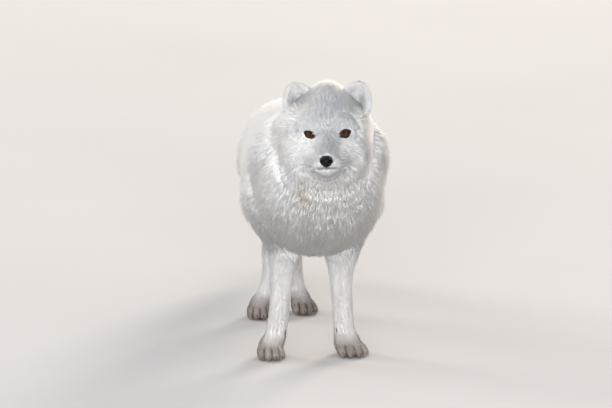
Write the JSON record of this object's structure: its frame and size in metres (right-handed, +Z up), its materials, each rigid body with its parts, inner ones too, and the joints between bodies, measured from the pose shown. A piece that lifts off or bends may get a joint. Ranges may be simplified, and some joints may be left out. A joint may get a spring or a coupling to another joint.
{
  "type": "arctic fox",
  "caption": "Life-size still arctic fox in thick white winter coat, standing on all fours with its head turned forwards and its bushy tail held low behind.",
  "frame": {"origin": "on the floor under the middle of the fox's bounding box", "axes": "+Z up, -Y the way the fox faces, +X towards the fox's left"},
  "size_m": [0.1864, 0.7236, 0.3701],
  "materials": {
    "coat": "thick soft white winter fur in overlapping locks",
    "face_coat": "short dense white fur with a faint cool grey down the forehead and nose bridge",
    "ear_coat": "short white fur, greyer inside the ear cup",
    "foot_coat": "short fur stained pale tan, darker between the toes",
    "eye": "wet glossy amber-brown iris with a dark pupil and black lid rims",
    "nose": "moist black pebbled nose leather",
    "claw": "dull dark horn"
  },
  "bodies": {
    "root": {"chest": "coat", "claw_fore_left_dew": "claw", "claw_fore_left_inner": "claw", "claw_fore_left_mid_inner": "claw", "claw_fore_left_mid_outer": "claw", "claw_fore_left_outer": "claw", "claw_fore_right_dew": "claw", "claw_fore_right_inner": "claw", "claw_fore_right_mid_inner": "claw", "claw_fore_right_mid_outer": "claw", "claw_fore_right_outer": "claw", "claw_hind_left_inner": "claw", "claw_hind_left_mid_inner": "claw", "claw_hind_left_mid_outer": "claw", "claw_hind_left_outer": "claw", "claw_hind_right_inner": "claw", "claw_hind_right_mid_inner": "claw", "claw_hind_right_mid_outer": "claw", "claw_hind_right_outer": "claw", "ear_left": "ear_coat", "ear_right": "ear_coat", "eye_left": "eye", "eye_right": "eye", "forefoot_left": "foot_coat", "forefoot_right": "foot_coat", "foreleg_left_lower": "coat", "foreleg_left_upper": "coat", "foreleg_right_lower": "coat", "foreleg_right_upper": "coat", "head": "face_coat", "hindfoot_left": "foot_coat", "hindfoot_right": "foot_coat", "hindleg_left_lower": "coat", "hindleg_left_upper": "coat", "hindleg_right_lower": "coat", "hindleg_right_upper": "coat", "jaw": "face_coat", "loin": "coat", "muzzle": "face_coat", "neck": "coat", "nose": "nose", "rump": "coat", "tail_brush": "coat", "tail_root": "coat"}
  },
  "joints": []
}
